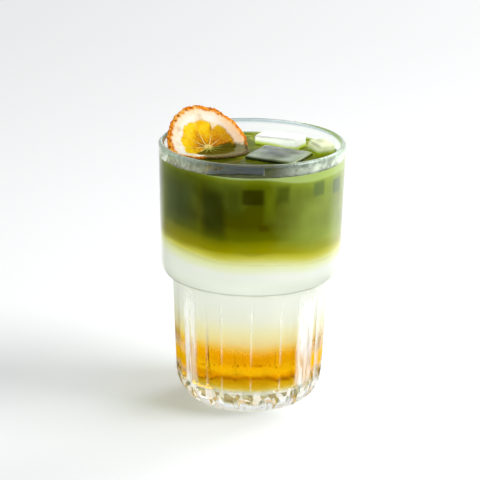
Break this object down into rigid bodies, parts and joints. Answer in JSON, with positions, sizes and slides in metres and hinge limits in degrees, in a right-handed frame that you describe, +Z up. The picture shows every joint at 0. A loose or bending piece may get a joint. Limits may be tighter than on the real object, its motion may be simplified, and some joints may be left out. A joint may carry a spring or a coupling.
{
  "type": "layered matcha tonic in a stepped glass",
  "caption": "Iced drink in layers of matcha, pale tonic and orange, in a clear stepped tumbler with a fluted lower body, with floating ice and a dried orange slice.",
  "frame": {"origin": "middle of the glass's flat foot, on the surface it stands on", "axes": "+Z up along the glass's axis; -Y faces the viewer; the orange slice leans at -X"},
  "size_m": [0.083, 0.083, 0.1319],
  "materials": {
    "glass": "clear, polished, with upright flutes below the step",
    "orange_layer": "clear orange syrup",
    "tonic_layer": "milky pale green-white liquid",
    "matcha_layer": "opaque dark green liquid, glossy on top",
    "ice": "clear, wet",
    "dried_orange": "dried rind, pale pith and translucent segments"
  },
  "bodies": {
    "root": {"glass": "glass", "drink_orange": "orange_layer", "drink_tonic": "tonic_layer", "drink_matcha": "matcha_layer", "ice_slab": "ice", "ice_back": "ice", "ice_right": "ice", "orange_slice": "dried_orange"}
  },
  "joints": []
}
